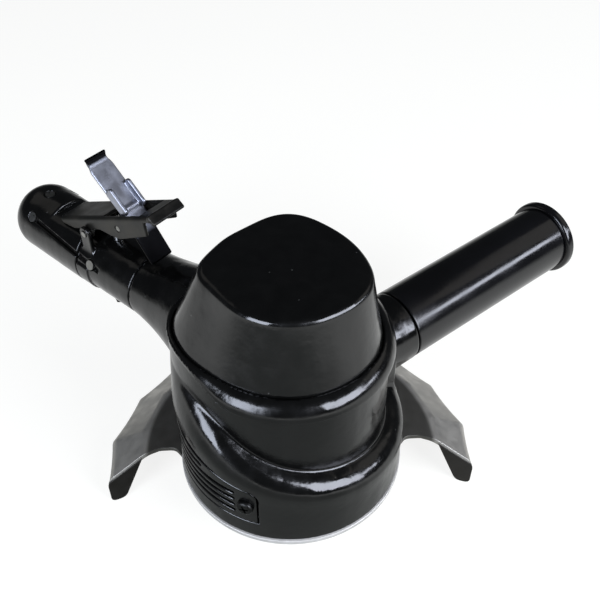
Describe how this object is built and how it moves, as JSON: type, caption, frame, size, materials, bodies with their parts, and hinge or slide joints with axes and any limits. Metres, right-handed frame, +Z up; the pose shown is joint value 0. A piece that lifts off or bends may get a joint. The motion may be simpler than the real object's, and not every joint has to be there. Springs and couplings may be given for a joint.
{
  "type": "vertical air grinder",
  "caption": "Hand-held vertical air grinder: upright vane motor, side throttle handle with lever and lock lever, plain side handle, half wheel guard and threaded spindle nose.",
  "frame": {"origin": "on the spindle axis at the wheel seat, the lower face of the inner wheel flange", "axes": "+Z up along the spindle away from the wheel, -Y towards the operator, +X to the operator's right"},
  "size_m": [0.3089, 0.1865, 0.1522],
  "materials": {
    "gloss_enamel": "gloss black enamel on cast metal",
    "grip_enamel": "gloss black enamel on turned tube",
    "cast_aluminium": "machined casting",
    "lever_steel": "satin black on pressed steel",
    "lock_steel": "dark phosphated strip",
    "guard_steel": "bare pressed sheet",
    "bright_steel": "zinc plated",
    "dark_steel": "blackened",
    "ground_steel": "ground",
    "motor_iron": "machined",
    "brass": "turned",
    "nitrile": "moulded",
    "gasket_paper": "pressed fibre",
    "felt": "felt",
    "vane_resin": "fabric-filled resin"
  },
  "bodies": {
    "housing": {"motor_housing": "gloss_enamel", "upper_housing": "gloss_enamel", "dead_handle_collar": "gloss_enamel", "throttle_handle": "gloss_enamel", "end_housing": "gloss_enamel", "louvre_cover": "gloss_enamel", "dead_handle_grip": "grip_enamel", "dead_handle_cap": "grip_enamel", "arbor_housing": "cast_aluminium", "guard_retainer": "guard_steel", "end_screws": "bright_steel", "lever_pin": "bright_steel", "guard_screws": "bright_steel", "valve_spring": "bright_steel", "cover_screw": "dark_steel", "valve_cap": "dark_steel", "through_bolts": "dark_steel", "dead_handle_stud": "dark_steel", "motor_dowels": "ground_steel", "lower_bearing_outer_race": "ground_steel", "upper_bearing_outer_race": "ground_steel", "cylinder_liner": "motor_iron", "lower_end_plate": "motor_iron", "upper_end_plate": "motor_iron", "inlet_bushing": "brass", "inlet_screen": "brass", "valve_seat": "brass", "spindle_seal": "nitrile", "stem_seal": "nitrile", "housing_gasket": "gasket_paper", "muffler_pad": "felt"},
    "spindle": {"spindle": "ground_steel", "rotor": "motor_iron", "rotor_key": "ground_steel", "vanes": "vane_resin", "lower_bearing_inner_race": "ground_steel", "upper_bearing_inner_race": "ground_steel", "inner_wheel_flange": "ground_steel", "spindle_locknut": "dark_steel"},
    "lower_ball_set": {"lower_bearing_balls": "ground_steel"},
    "upper_ball_set": {"upper_bearing_balls": "ground_steel"},
    "throttle_lever": {"throttle_lever": "lever_steel", "lock_pin": "bright_steel"},
    "lock_lever": {"lock_lever": "lock_steel", "lock_spring": "bright_steel"},
    "throttle_stem": {"valve_stem": "ground_steel", "valve_ball": "ground_steel"},
    "wheel_guard": {"wheel_guard": "guard_steel"}
  },
  "joints": [
    {"name": "spindle_spin", "type": "hinge", "parent": "housing", "child": "spindle", "pos_m": [0, 0, 0], "axis": [0, 0, 1], "continuous": true},
    {"name": "lower_ball_orbit", "type": "hinge", "parent": "housing", "child": "lower_ball_set", "pos_m": [0, 0, 0.0188], "axis": [0, 0, 1], "continuous": true},
    {"name": "upper_ball_orbit", "type": "hinge", "parent": "housing", "child": "upper_ball_set", "pos_m": [0, 0, 0.0877], "axis": [0, 0, 1], "continuous": true},
    {"name": "lever_press", "type": "hinge", "parent": "housing", "child": "throttle_lever", "pos_m": [-0.09652, 0.08099, 0.0828], "axis": [0.6428, 0.766, 0], "range_deg": [0, 16], "stiffness_Nm_per_rad": 1.5, "springref_deg": -8.59},
    {"name": "lock_turn", "type": "hinge", "parent": "throttle_lever", "child": "lock_lever", "pos_m": [-0.07725, 0.06482, 0.09753], "axis": [0.6428, 0.766, 0], "range_deg": [-52, 0]},
    {"name": "stem_slide", "type": "slide", "parent": "housing", "child": "throttle_stem", "axis": [0, 0, -1], "range_m": [0, 0.0034], "deforming": ["valve_spring"]},
    {"name": "guard_swivel", "type": "hinge", "parent": "housing", "child": "wheel_guard", "pos_m": [0, 0, 0.00125], "axis": [0, 0, 1], "range_deg": [-90, 90]}
  ],
  "couplings": [
    {"joint": "lower_ball_orbit", "follows": "spindle_spin", "ratio": 0.3836},
    {"joint": "upper_ball_orbit", "follows": "spindle_spin", "ratio": 0.3682},
    {"joint": "lock_turn", "follows": "lever_press", "ratio": -3.2},
    {"joint": "stem_slide", "follows": "lever_press", "m_per_rad": 0.0116}
  ]
}
